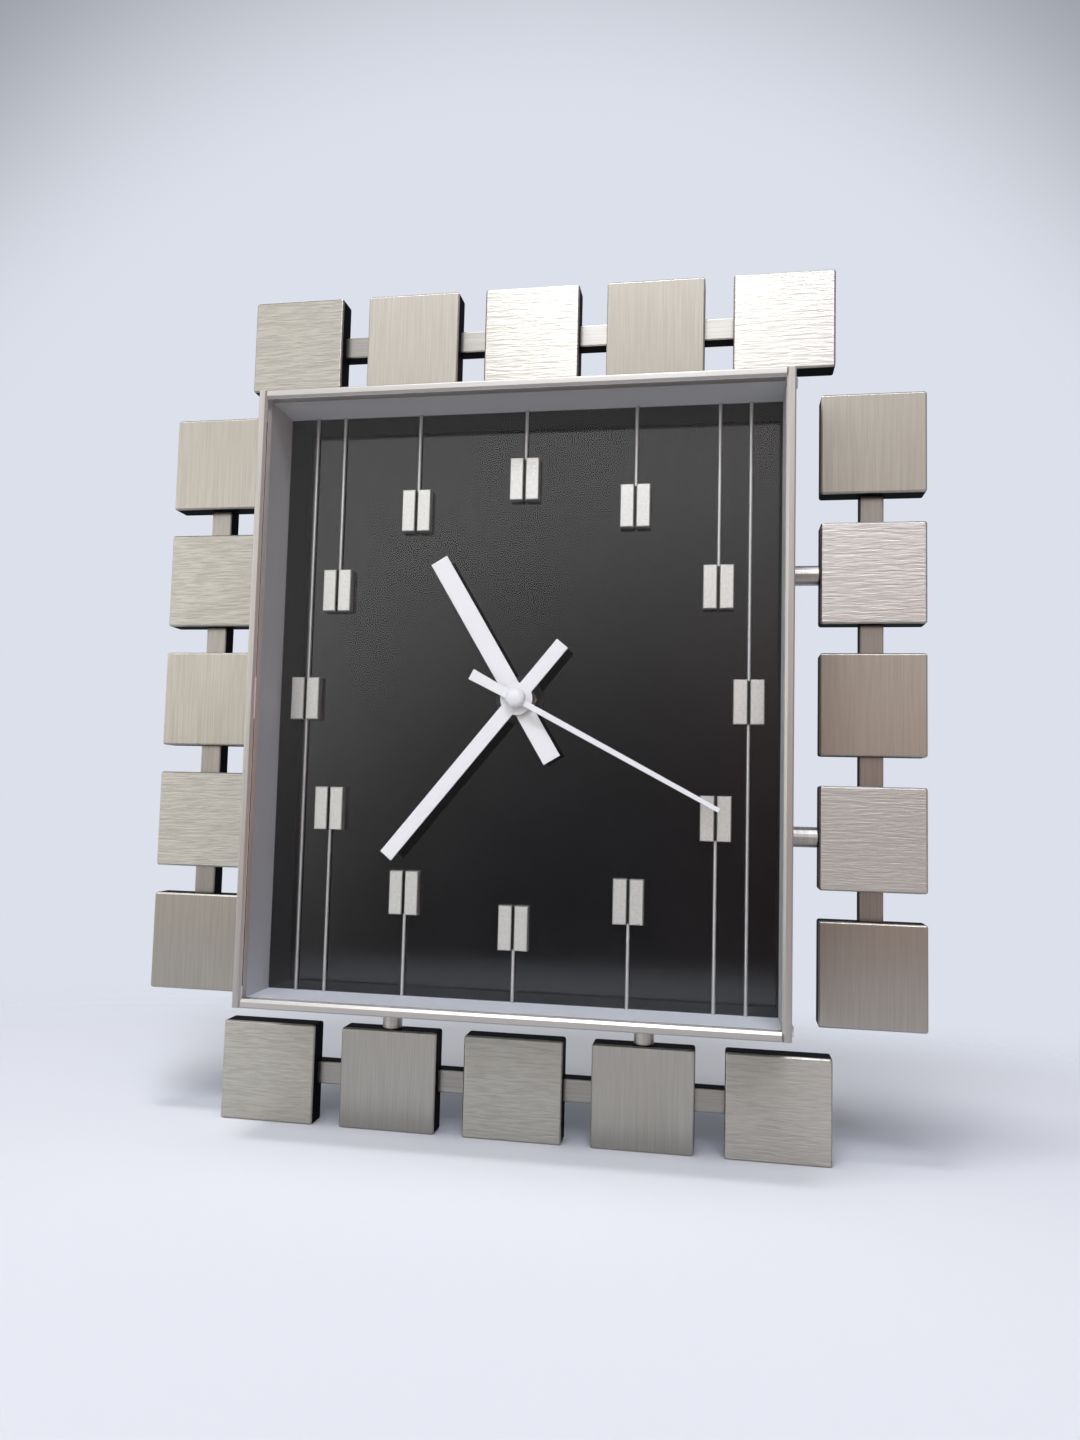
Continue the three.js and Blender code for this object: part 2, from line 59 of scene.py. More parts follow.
# The eye stands a forearm's length in front of the clock, a little to its right and just
# below its middle, and looks slightly up at it through a wide lens.
eye = Vector((0.08025, -0.43379, -0.14524))
gaze_degrees = (94.18743539, -1.41677298, 9.85812845)
sensor_mm = 36
lens_mm = 25.96
nearest_seen = 0.01
camera_data = bpy.data.cameras.new("eye")
camera_data.sensor_fit = "VERTICAL"
camera_data.sensor_height = sensor_mm
camera_data.lens = lens_mm
camera_data.clip_start = nearest_seen
camera = bpy.data.objects.new("eye", camera_data)
camera.location = eye
camera.rotation_euler = Euler([math.radians(angle) for angle in gaze_degrees], "XYZ")
bpy.context.scene.collection.objects.link(camera)
bpy.context.scene.camera = camera


# The studio: a pale, slightly blue backdrop that darkens overhead. The metal mirrors a room in
# front of it: a cool bright ceiling with a roof light, a window on the left and a brown, dim
# lower right. Two soft lamps hang above.
def node(tree, kind, sockets=None, **settings):
    """Adds a shader node. A socket takes a value, or another node's output to link."""
    made = tree.nodes.new(kind)
    for setting, value in settings.items():
        setattr(made, setting, value)
    for socket, value in (sockets or {}).items():
        if isinstance(value, bpy.types.NodeSocket):
            tree.links.new(value, made.inputs[socket])
        else:
            made.inputs[socket].default_value = value
    return made


def math_node(tree, operation, *values):
    """The output of one arithmetic step."""
    return node(tree, "ShaderNodeMath", dict(enumerate(values)), operation=operation).outputs[0]


def vector_node(tree, operation, sockets):
    """One step of arithmetic on vectors."""
    return node(tree, "ShaderNodeVectorMath", sockets, operation=operation)


def ramp(tree, value, start, end, low=0.0, high=1.0):
    """value taken smoothly from start..end to low..high, and held there outside."""
    sockets = {"Value": value, "From Min": start, "From Max": end, "To Min": low, "To Max": high}
    made = node(tree, "ShaderNodeMapRange", sockets, interpolation_type="SMOOTHSTEP")
    return made.outputs["Result"]


def patch(tree, *fades):
    """Where all the fades overlap. Each fade is an output and the span over which it grows."""
    covered, *others = [ramp(tree, *fade) for fade in fades]
    for other in others:
        covered = math_node(tree, "MULTIPLY", covered, other)
    return covered


def blend_colours(tree, factor, first, second, mode="MIX"):
    """first and second mixed by factor, as a colour output."""
    factor_input, first_input, second_input, colour_output = 0, 6, 7, 2
    sockets = {factor_input: factor}
    for number, value in ((first_input, first), (second_input, second)):
        sockets[number] = value if isinstance(value, bpy.types.NodeSocket) else (*value, 1)
    made = node(tree, "ShaderNodeMix", sockets, data_type="RGBA", blend_type=mode)
    return made.outputs[colour_output]


world = bpy.data.worlds.new("studio")
bpy.context.scene.world = world
world.use_nodes = True
sky = world.node_tree
sky.nodes.clear()
towards = node(sky, "ShaderNodeTexCoord").outputs["Generated"]
split = node(sky, "ShaderNodeSeparateXYZ", {0: towards})
across, ahead, up = split.outputs["X"], split.outputs["Y"], split.outputs["Z"]

backdrop_colour = (0.71, 0.745, 0.825)
corner_colour = (0.29, 0.31, 0.345)
backdrop_middle = (-0.171, 0.983, 0.073)
centring = vector_node(sky, "DOT_PRODUCT", {0: towards, 1: backdrop_middle}).outputs["Value"]
corners = patch(sky, (centring, 0.87, 0.72), (up, 0.20, 0.50))
backdrop = blend_colours(sky, corners, backdrop_colour, corner_colour)

room_low = (0.52, 0.47, 0.42)
room_middle = (1.30, 1.28, 1.27)
room_rise = (-0.36, 0.10)
room_meets_backdrop = (-0.25, 0.15)
doorway_middle = (-0.030, -0.975, -0.220)
doorway = vector_node(sky, "DOT_PRODUCT", {0: towards, 1: doorway_middle}).outputs["Value"]
# Each part of the room: how it is laid over the parts before it, its colour and its fades.
room_parts = {
    "upper walls": ("MIX", (2.10, 2.08, 2.08), [(up, 0.36, 0.46)]),
    "ceiling": ("MIX", (3.10, 3.35, 4.10), [
        (across, -0.34, -0.20), (across, 0.26, 0.05), (up, 0.55, 0.66)]),
    "overhead": ("MIX", (0.25, 0.25, 0.26), [(up, 0.70, 0.88)]),
    "roof light": ("MIX", (15.0, 16.2, 20.0), [
        (across, 0.06, 0.14), (across, 0.34, 0.26), (up, 0.60, 0.66), (up, 0.84, 0.76)]),
    "right side": ("MULTIPLY", (0.85, 0.79, 0.775), [(across, -0.25, 0.35)]),
    "far right": ("MULTIPLY", (0.28, 0.28, 0.28), [(across, 0.40, 0.75)]),
    "lower right": ("MULTIPLY", (1.65, 1.17, 1.09), [(across, -0.15, 0.20), (up, 0.24, 0.02)]),
    "window": ("MIX", (2.90, 2.88, 2.82), [
        (across, -0.36, -0.60), (up, 0.42, 0.16), (up, -0.17, 0.09)]),
    "doorway": ("MULTIPLY", (0.15, 0.15, 0.157), [(doorway, 0.85, 0.99)]),
}
room = blend_colours(sky, ramp(sky, up, *room_rise), room_low, room_middle)
for laid, colour, fades in room_parts.values():
    room = blend_colours(sky, patch(sky, *fades), room, colour, laid)
surround = blend_colours(sky, ramp(sky, ahead, *room_meets_backdrop), room, backdrop)
ray = node(sky, "ShaderNodeLightPath")
seen = math_node(sky, "MAXIMUM", ray.outputs["Is Camera Ray"], ray.outputs["Is Transmission Ray"])
shown = blend_colours(sky, seen, surround, backdrop)
light = node(sky, "ShaderNodeBackground", {"Color": shown, "Strength": 1.0})
node(sky, "ShaderNodeOutputWorld", {"Surface": light.outputs[0]})


def area_light(name, place, target, width, height, watts, colour):
    """A soft rectangular lamp at place, facing target."""
    data = bpy.data.lights.new(name, "AREA")
    data.shape = "RECTANGLE"
    data.size = width
    data.size_y = height
    data.energy = watts
    data.color = colour
    lamp = bpy.data.objects.new(name, data)
    lamp.location = place
    lamp.rotation_euler = (Vector(target) - Vector(place)).to_track_quat("-Z", "Y").to_euler()
    bpy.context.scene.collection.objects.link(lamp)


clock_middle = (0, -0.02, -0.107)
clock_foot = (0.02, 0.02, -0.28)
area_light("ceiling glow", (-0.02, -0.68, 0.90), clock_middle,
           width=0.46, height=0.30, watts=7.2, colour=(0.92, 0.96, 1.0))
area_light("overhead softbox", (-0.12, -0.26, 1.15), clock_foot,
           width=0.30, height=0.20, watts=9.0, colour=(1.0, 0.99, 0.98))

# The floor: a matt pale sheet that the clock stands on. Around the clock it is solid and takes
# its shadow. Further out it melts into the backdrop.
floor_colour = (0.485, 0.495, 0.52)
floor_radius = 1.2
floor_segments = 96
floor_shift = (0.0, 0.12, 0.0)
floor_stretch = (0.62, 1.0, 0.0)
floor_solid_radius = 0.27
floor_faded_radius = 0.42
bm = bmesh.new()
bmesh.ops.create_circle(bm, cap_ends=True, segments=floor_segments, radius=floor_radius)
bmesh.ops.translate(bm, verts=bm.verts, vec=(0, 0, cad_box[0].z))
floor_mesh = bpy.data.meshes.new("floor")
bm.to_mesh(floor_mesh)
bm.free()
floor = bpy.data.objects.new("floor", floor_mesh)
bpy.context.scene.collection.objects.link(floor)
floor_material = bpy.data.materials.new("pale sheet")
floor_material.use_nodes = True
tree = floor_material.node_tree
tree.nodes.clear()
sheet_spot = node(tree, "ShaderNodeTexCoord").outputs["Object"]
centred = node(tree, "ShaderNodeMapping", {
    "Vector": sheet_spot, "Location": floor_shift, "Scale": floor_stretch})
distance = vector_node(tree, "LENGTH", {0: centred.outputs[0]}).outputs["Value"]
matt = node(tree, "ShaderNodeBsdfDiffuse", {"Color": (*floor_colour, 1)})
open_air = node(tree, "ShaderNodeBsdfTransparent")
fade = ramp(tree, distance, floor_solid_radius, floor_faded_radius)
surface = node(tree, "ShaderNodeMixShader", {0: fade, 1: matt.outputs[0], 2: open_air.outputs[0]})
node(tree, "ShaderNodeOutputMaterial", {"Surface": surface.outputs[0]})
floor_mesh.materials.append(floor_material)

# Frame: four flat aluminium strips, sawn and milled, satin anodised in a warm silver. The rim
# is chamfered inside and out, and two grooves hold the glass and the dial. All four strips have
# one finish. The inner walls of the top and bottom strips are coloured near-white as painted
# light, and those of the side strips mid-grey as painted shade.
noise_span = (0.25, 0.75)
quarter_turn = 0.25


def new_material(name):
    """A node material: itself, its tree and its Principled shader."""
    material = bpy.data.materials.new(name)
    material.use_nodes = True
    shader = material.node_tree.nodes["Principled BSDF"]
    return material, material.node_tree, shader


def grain(tree, stretch, detail=4.0, warp=0.0):
    """Noise on the object's own coordinates, with stretch cycles a metre along each axis."""
    swirl_cycles = 70.0
    noise_middle = (0.5, 0.5, 0.5)
    spot = node(tree, "ShaderNodeTexCoord").outputs["Object"]
    if warp:
        sockets = {"Vector": spot, "Scale": swirl_cycles, "Detail": 1.0}
        swirl = node(tree, "ShaderNodeTexNoise", sockets)
        shift = vector_node(tree, "SUBTRACT", {0: swirl.outputs["Color"], 1: noise_middle})
        shift = vector_node(tree, "SCALE", {0: shift.outputs[0], "Scale": warp})
        spot = vector_node(tree, "ADD", {0: spot, 1: shift.outputs[0]}).outputs[0]
    scaled = node(tree, "ShaderNodeMapping", {"Vector": spot, "Scale": stretch})
    sockets = {"Vector": scaled.outputs[0], "Scale": 1.0, "Detail": detail, "Roughness": 0.6}
    return node(tree, "ShaderNodeTexNoise", sockets).outputs[0]


def tinted(tree, value, dark, light, start=0.3, end=0.7):
    """A colour from dark to light as value goes from start to end."""
    return blend_colours(tree, ramp(tree, value, start, end), dark, light)


def bump(tree, shader, height, distance):
    """Turns height into a bump on the shader."""
    sockets = {"Height": height, "Distance": distance}
    tree.links.new(node(tree, "ShaderNodeBump", sockets).outputs[0], shader.inputs["Normal"])


def brushed_along(tree, shader, direction, strength):
    """Spreads the gloss across the brushing, which runs along direction."""
    turned = node(tree, "ShaderNodeVectorTransform", {"Vector": direction},
                  vector_type="VECTOR", convert_from="OBJECT", convert_to="WORLD")
    tree.links.new(turned.outputs[0], shader.inputs["Tangent"])
    shader.inputs["Anisotropic"].default_value = strength
    shader.inputs["Anisotropic Rotation"].default_value = quarter_turn


def metal_strip(name, dark, light, roughness, stretch, depth, metallic=1.0, spread=0.8):
    """Satin metal brushed along the axis with the smallest stretch."""
    cloud_cycles = (14, 14, 14)
    cloud_span = (0.3, 0.75)
    cloud_share = (0.0, 0.25)
    material, tree, shader = new_material(name)
    shader.inputs["Metallic"].default_value = metallic
    brushed_along(tree, shader, [float(cycles == min(stretch)) for cycles in stretch], spread)
    lines = grain(tree, stretch)
    clouds = grain(tree, cloud_cycles, 2.0)
    colour = tinted(tree, lines, dark, light)
    colour = blend_colours(tree, ramp(tree, clouds, *cloud_span, *cloud_share), colour, dark)
    tree.links.new(colour, shader.inputs["Base Color"])
    tree.links.new(ramp(tree, lines, *noise_span, *roughness), shader.inputs["Roughness"])
    bump(tree, shader, lines, depth)
    return material


def refined(name, width, segments=2):
    """A merged copy of a CAD node with its sharp edges rounded off, as a bmesh."""
    weld_distance = 1e-6
    flat_angle = math.radians(1)
    sharp_angle = math.radians(12)
    bm = bmesh.new()
    bm.from_mesh(nodes[name].data)
    bmesh.ops.remove_doubles(bm, verts=bm.verts, dist=weld_distance)
    bmesh.ops.dissolve_limit(bm, angle_limit=flat_angle, verts=bm.verts, edges=bm.edges)
    sharp = [edge for edge in bm.edges if edge.calc_face_angle(0) > sharp_angle]
    bmesh.ops.bevel(bm, geom=sharp, offset=width, segments=segments, profile=0.5, affect="EDGES",
                    clamp_overlap=True, material=-1)
    return bm


def finished(bm, name, materials, smooth_angle=35):
    """Makes an object of a bmesh, its edges smooth up to an angle and its flats flat."""
    mesh = bpy.data.meshes.new(name)
    bm.to_mesh(mesh)
    bm.free()
    mesh.shade_smooth()
    mesh.set_sharp_from_angle(angle=math.radians(smooth_angle))
    for material in materials:
        mesh.materials.append(material)
    piece = bpy.data.objects.new(name, mesh)
    piece.modifiers.new("flat faces", "WEIGHTED_NORMAL").keep_sharp = True
    bpy.context.scene.collection.objects.link(piece)
    return piece


rim_dark = (0.36, 0.346, 0.325)
rim_light = (0.42, 0.406, 0.385)
rim_roughness = (0.48, 0.40)
# Inner wall colours: painted light on the top and bottom strips, painted shade on the side strips.
# The real walls all have one finish.
painted_shade_upright_wall_dark = (0.56, 0.57, 0.59)
painted_shade_upright_wall_light = (0.61, 0.62, 0.64)
painted_lit_level_wall_dark = (0.86, 0.89, 0.93)
painted_lit_level_wall_light = (0.91, 0.94, 0.97)
wall_roughness = (0.55, 0.5)
level_lines = (30, 2600, 2600)
upright_lines = (2600, 2600, 30)
line_depth = 2e-6
rim_level = metal_strip("anodised level strip", rim_dark, rim_light, rim_roughness,
                        level_lines, line_depth, metallic=0.9, spread=0.3)
rim_upright = metal_strip("anodised upright strip", rim_dark, rim_light, rim_roughness,
                          upright_lines, line_depth, metallic=0.9, spread=0.7)
painted_lit_wall_level = metal_strip("level wall painted light", painted_lit_level_wall_dark, painted_lit_level_wall_light, wall_roughness,
                         level_lines, line_depth, metallic=0.05)
painted_shade_wall_upright = metal_strip("upright wall painted shade", painted_shade_upright_wall_dark, painted_shade_upright_wall_light,
                           wall_roughness, upright_lines, line_depth, metallic=0.2)
frame_edge = 0.00012
square_on = 0.9
inward = {
    "top": Vector((0, 0, -1)),
    "bottom": Vector((0, 0, 1)),
    "left": Vector((1, 0, 0)),
    "right": Vector((-1, 0, 0)),
}
# Inward-facing faces of each strip take the wall material with its painted light or painted shade.
for side, direction in inward.items():
    level = side in ("top", "bottom")
    bm = refined(f"frame_strip_{side}", frame_edge)
    for face in bm.faces:
        face.material_index = int(face.normal.dot(direction) > square_on)
    metals = [rim_level, painted_lit_wall_level] if level else [rim_upright, painted_shade_wall_upright]
    strip = finished(bm, f"anodised_strip_{side}", metals)
    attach(strip, "case")
    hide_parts(f"frame_strip_{side}")

# Dial: a 3 mm panel with a deep black gloss face. It slides into the frame's rear groove before
# the last strip goes on.
dial_dark = (0.004, 0.004, 0.005)
dial_light = (0.006, 0.006, 0.007)
dial_roughness = (0.05, 0.09)
dial_gloss = 0.55
material, tree, shader = new_material("black gloss dial")
polish = grain(tree, (60, 60, 60), 3.0)
tree.links.new(tinted(tree, polish, dial_dark, dial_light), shader.inputs["Base Color"])
tree.links.new(ramp(tree, polish, 0.3, 0.7, *dial_roughness), shader.inputs["Roughness"])
shader.inputs["Specular IOR Level"].default_value = dial_gloss
nodes["dial_panel"].data.materials.clear()
nodes["dial_panel"].data.materials.append(material)


# Hour markers: pairs of small aluminium bars on a common back, blasted to a fine matt silver,
# each carried by a thin steel rod that runs to the frame. The groove between the bars is
# coloured near-black as painted shade.
def plain_metal(name, dark, light, roughness, cycles=900, depth=3e-6, metallic=1.0):
    """Metal with an even, fine, blasted or cast surface."""
    material, tree, shader = new_material(name)
    shader.inputs["Metallic"].default_value = metallic
    fine = grain(tree, (cycles, cycles, cycles), 3.0)
    tree.links.new(tinted(tree, fine, dark, light), shader.inputs["Base Color"])
    tree.links.new(ramp(tree, fine, *noise_span, *roughness), shader.inputs["Roughness"])
    bump(tree, shader, fine, depth)
    return material


marker_silver = plain_metal("matt silver", (0.585, 0.58, 0.55), (0.665, 0.66, 0.63), (0.52, 0.44))
# The groove's walls and floor are coloured near-black: painted shade in the narrow recess.
groove_painted_shade = plain_metal("groove painted shade", (0.010, 0.010, 0.011), (0.018, 0.018, 0.020),
                               (0.50, 0.62), depth=2e-6, metallic=0.0)
rod_steel = plain_metal("drawn steel rod", (0.52, 0.52, 0.53), (0.58, 0.58, 0.59),
                        (0.44, 0.50), cycles=700, depth=2e-7)
marker_edge = 0.00016
groove_reach = 0.0006
groove_front = 0.0005
bar_side = 0.001
hair = 1e-5
for hour in range(1, 13):
    name = f"hour_marker_{hour}"
    bm = refined(name, marker_edge)
    low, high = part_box(name)
    middle = (low.x + high.x) / 2
    bar_reach = high.x - middle - bar_side
    bar_heights = [vert.co.z for vert in bm.verts if abs(vert.co.x - middle) > bar_reach]
    bars_foot = min(bar_heights) - hair
    bars_head = max(bar_heights) + hair
    for face in bm.faces:
        spot = face.calc_center_median()
        on_bars = bars_foot < spot.z < bars_head
        in_groove = abs(spot.x - middle) < groove_reach and spot.y > low.y + groove_front
        groove_face = abs(face.normal.x) > square_on or face.normal.y < -square_on
        face.material_index = int(in_groove and groove_face) if on_bars else 2
    marker = finished(bm, f"silver_marker_{hour}", [marker_silver, groove_painted_shade, rod_steel])
    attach(marker, "case")
    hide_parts(name)


# Movement: a black moulded case behind the dial, held by a flanged brass nut on its threaded
# bush. The nut's flange next to the dial is coloured near-black as painted shade. Two turned
# brass pipes, one inside the other, come through the bush for the hands.
def plastic(name, dark, light, roughness, cycles=1400, depth=8e-6):
    """Moulded plastic with a fine spark-eroded texture."""
    material, tree, shader = new_material(name)
    fine = grain(tree, (cycles, cycles, cycles), 2.0)
    tree.links.new(tinted(tree, fine, dark, light), shader.inputs["Base Color"])
    tree.links.new(ramp(tree, fine, *noise_span, *roughness), shader.inputs["Roughness"])
    bump(tree, shader, fine, depth)
    return material


case_plastic = plastic("moulded case", (0.016, 0.017, 0.018), (0.026, 0.027, 0.029), (0.42, 0.55))
nodes["movement_case"].data.materials.clear()
nodes["movement_case"].data.materials.append(case_plastic)
dull_brass = plain_metal("dull brass", (0.30, 0.28, 0.20), (0.38, 0.35, 0.26),
                         (0.30, 0.40), cycles=600, depth=2e-6)
# The part of the nut within the flange's reach of the dial is coloured near-black: painted shade.
flange_painted_shade = plain_metal("flange painted shade", (0.012, 0.012, 0.013), (0.020, 0.020, 0.022),
                            (0.35, 0.45), cycles=600, depth=2e-6, metallic=0.0)
nut_edge = 0.0002
flange_reach = 0.0012
flange_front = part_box("dial_panel")[0].y - flange_reach
bm = refined("hub_nut", nut_edge)
for face in bm.faces:
    face.material_index = int(face.calc_center_median().y > flange_front)
nut = finished(bm, "flanged_nut", [dull_brass, flange_painted_shade])
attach(nut, "case")
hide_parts("hub_nut")
pipe_edge = 0.0001
for body in ("hour", "minute"):
    pipe = finished(refined(f"{body}_pipe", pipe_edge), f"turned_{body}_pipe", [dull_brass])
    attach(pipe, body)
    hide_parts(f"{body}_pipe")

# Hands: blanked from aluminium sheet, pressed on their pipes and sprayed a silky white. The
# second hand's cap is a smooth dome.
hand_white = plain_metal("silky white paint", (0.82, 0.83, 0.84), (0.86, 0.87, 0.88),
                         (0.38, 0.46), cycles=1500, depth=2e-6, metallic=0.0)
hand_edge = 0.00009
for body in ("hour", "minute", "second"):
    hand = finished(refined(f"{body}_hand", hand_edge), f"sprayed_{body}_hand", [hand_white])
    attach(hand, body)
    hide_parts(f"{body}_hand")

# Glass: a 4 mm pane of clear float glass with ground edges. It sits loose in the frame's front
# groove.
glass_tint = (0.992, 0.996, 0.995, 1)
glass_index = 1.2
material, tree, shader = new_material("clear float glass")
tree.nodes.remove(shader)
mirror = node(tree, "ShaderNodeBsdfGlossy", {"Color": (1, 1, 1, 1), "Roughness": 0.0})
clear = node(tree, "ShaderNodeBsdfTransparent", {"Color": glass_tint})
facing = node(tree, "ShaderNodeFresnel", {"IOR": glass_index})
pane = node(tree, "ShaderNodeMixShader", {
    0: facing.outputs[0], 1: clear.outputs[0], 2: mirror.outputs[0]})
tree.links.new(pane.outputs[0], tree.nodes["Material Output"].inputs["Surface"])
nodes["glass_pane"].data.materials.clear()
nodes["glass_pane"].data.materials.append(material)

# Pins: eight turned aluminium spacers between the frame and the second and fourth plate of
# each side. They are left as they come off the lathe.
pin_dark = (0.36, 0.345, 0.32)
pin_light = (0.46, 0.44, 0.41)
pin_roughness = (0.50, 0.42)
pin_depth = 3e-6
pin_across = metal_strip("turned pin across", pin_dark, pin_light, pin_roughness,
                         (1500, 60, 60), pin_depth, spread=0.0)
pin_upright = metal_strip("turned pin upright", pin_dark, pin_light, pin_roughness,
                          (60, 60, 1500), pin_depth, spread=0.0)
pin_edge = 0.00025
pin_smooth_angle = 50
for name in [name for name in nodes if name.startswith("pin_")]:
    metal = pin_upright if name.startswith(("pin_top", "pin_bottom")) else pin_across
    rounded = refined(name, pin_edge, segments=3)
    pin = finished(rounded, f"turned_{name}", [metal], pin_smooth_angle)
    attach(pin, "case")
    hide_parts(name)

# Rails: four flat aluminium bars in the slots behind the plates. Their front is brushed along
# their length, and their sides and back are lacquered black.
rail_dark = (0.27, 0.257, 0.235)
rail_light = (0.33, 0.316, 0.29)
rail_roughness = (0.44, 0.34)
rail_depth = 3e-6
rail_level = metal_strip("brushed level rail", rail_dark, rail_light, rail_roughness,
                         (25, 1800, 1800), rail_depth)
rail_upright = metal_strip("brushed upright rail", rail_dark, rail_light, rail_roughness,
                           (1800, 1800, 25), rail_depth)
lacquer_index = 1.04
black_lacquer = plastic("black lacquer", (0.004, 0.004, 0.005), (0.007, 0.007, 0.008),
                        (0.48, 0.56), cycles=700, depth=2e-6)
black_lacquer.node_tree.nodes["Principled BSDF"].inputs["IOR"].default_value = lacquer_index
rail_edge = 0.00015
rail_front_facing = -0.3
for side in inward:
    bm = refined(f"rail_{side}", rail_edge)
    for face in bm.faces:
        face.material_index = int(face.normal.y > rail_front_facing)
    metal = rail_level if side in ("top", "bottom") else rail_upright
    rail = finished(bm, f"brushed_rail_{side}", [metal, black_lacquer])
    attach(rail, "case")
    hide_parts(f"rail_{side}")

# Plates: twenty 40 mm squares with a straight-brushed metal face, a thin polished bevel and
# black lacquered sides. The brushing turns by a right angle from each plate to the next.
plate_cloud = (0.352, 0.328, 0.285)
plate_cloud_cycles = (18, 18, 18)
plate_cloud_span = (0.3, 0.7)
plate_cloud_share = (0.0, 0.3)
plate_streak_span = (0.3, 0.68)
plate_spread = 0.85


def brushed_face(name, brushing, stretch, warp, shades, gloss, depth):
    """Strongly brushed metal, its grain along brushing."""
    material, tree, shader = new_material(name)
    shader.inputs["Metallic"].default_value = 1.0
    streaks = grain(tree, stretch, 3.0, warp)
    clouds = ramp(tree, grain(tree, plate_cloud_cycles, 2.0), *plate_cloud_span, *plate_cloud_share)
    colour = tinted(tree, streaks, *shades, *plate_streak_span)
    colour = blend_colours(tree, clouds, colour, plate_cloud)
    tree.links.new(colour, shader.inputs["Base Color"])
    tree.links.new(ramp(tree, streaks, *noise_span, *gloss), shader.inputs["Roughness"])
    brushed_along(tree, shader, brushing, plate_spread)
    bump(tree, shader, streaks, depth)
    return material


brushed_level = brushed_face(
    "face brushed level", brushing=(1, 0, 0), stretch=(110, 1150, 1150), warp=0.0012,
    shades=((0.349, 0.335, 0.298), (0.428, 0.411, 0.367)), gloss=(0.38, 0.29), depth=1.8e-4)
brushed_upright = brushed_face(
    "face brushed upright", brushing=(0, 0, 1), stretch=(1700, 1700, 28), warp=0.0003,
    shades=((0.358, 0.342, 0.305), (0.414, 0.396, 0.355)), gloss=(0.43, 0.36), depth=1.2e-5)
plates_a_side = 5
plate_edge = 0.00018
plate_bevel_depth = 0.0007
for side in ("top", "right", "bottom", "left"):
    for number in range(1, plates_a_side + 1):
        name = f"plate_{side}_{number}"
        level = (number % 2 == 1) == (side in ("top", "bottom"))
        bm = refined(name, plate_edge)
        face_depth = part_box(name)[0].y + plate_bevel_depth
        for face in bm.faces:
            face.material_index = 0 if face.calc_center_median().y < face_depth else 1
        metal = brushed_level if level else brushed_upright
        plate = finished(bm, f"brushed_{name}", [metal, black_lacquer])
        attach(plate, "case")
        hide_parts(name)

# Hanger: a 2 mm steel angle, folded and bright zinc-plated, with two keyholes for the wall's
# screws. Its flange lies under the frame's top strip.
zinc = plain_metal("bright zinc", (0.58, 0.60, 0.62), (0.68, 0.70, 0.72),
                   (0.24, 0.36), cycles=250, depth=4e-6)
hanger_edge = 0.0002
hanger = finished(refined("hanger_plate", hanger_edge), "zinc_hanger", [zinc])
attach(hanger, "case")
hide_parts("hanger_plate")

# Screws: zinc-plated button heads with a hexagon socket. Two come up through the hanger's
# flange, and two close each corner of the frame from the side.
screw_steps = 48
key_sides = 6
key_depth = 0.65
button_profile = ((1.0, 0.22), (0.97, 0.50), (0.85, 0.82), (0.62, 1.0))


def drawn_out(bm, face, step, widening=1.0):
    """Extrudes a face by step and widens it about the z axis. Gives the new end face."""
    region = bmesh.ops.extrude_face_region(bm, geom=[face, *face.edges])["geom"]
    end = next(item for item in region if isinstance(item, bmesh.types.BMFace))
    bmesh.ops.scale(bm, verts=list(end.verts), vec=(widening, widening, 1))
    bmesh.ops.translate(bm, verts=list(end.verts), vec=step)
    return end


def button_screw(bm, seat, outward, head_radius, head_height, key_radius):
    """Adds the head of a socket screw that stands on seat and faces outward."""
    head = bmesh.new()
    disc = bmesh.ops.create_circle(head, cap_ends=True, segments=screw_steps, radius=head_radius)
    crown = disc["verts"][0].link_faces[0]
    radius, height = 1.0, 0.0
    for next_radius, next_height in button_profile:
        step = (0, 0, (next_height - height) * head_height)
        crown = drawn_out(head, crown, step, next_radius / radius)
        radius, height = next_radius, next_height
    rim = list(crown.edges)
    bmesh.ops.delete(head, geom=[crown], context="FACES_ONLY")
    key = bmesh.ops.create_circle(head, segments=key_sides, radius=key_radius)
    bmesh.ops.translate(head, verts=key["verts"], vec=(0, 0, head_height))
    key_edges = [edge for edge in head.edges if edge.is_wire]
    bmesh.ops.subdivide_edges(head, edges=key_edges, cuts=screw_steps // key_sides - 1)
    key_edges = [edge for edge in head.edges if edge.is_wire]
    bmesh.ops.bridge_loops(head, edges=rim + key_edges)
    sunk = bmesh.ops.extrude_edge_only(head, edges=key_edges)["geom"]
    sunk = [item for item in sunk if isinstance(item, bmesh.types.BMVert)]
    bmesh.ops.translate(head, verts=sunk, vec=(0, 0, -key_depth * head_height))
    bmesh.ops.edgeloop_fill(head, edges=[edge for edge in head.edges if edge.is_boundary])
    turned_out = Matrix.Translation(seat) @ outward.to_track_quat("Z", "Y").to_matrix().to_4x4()
    bmesh.ops.transform(head, matrix=turned_out, verts=head.verts)
    loose_head = bpy.data.meshes.new("loose head")
    head.to_mesh(loose_head)
    head.free()
    bm.from_mesh(loose_head)
    bpy.data.meshes.remove(loose_head)


def added_piece(bm, name, materials, body, smooth_angle=35):
    """Finishes a piece that replaces no node and sets it on its body."""
    bmesh.ops.recalc_face_normals(bm, faces=bm.faces)
    piece = finished(bm, name, materials, smooth_angle)
    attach(piece, body)


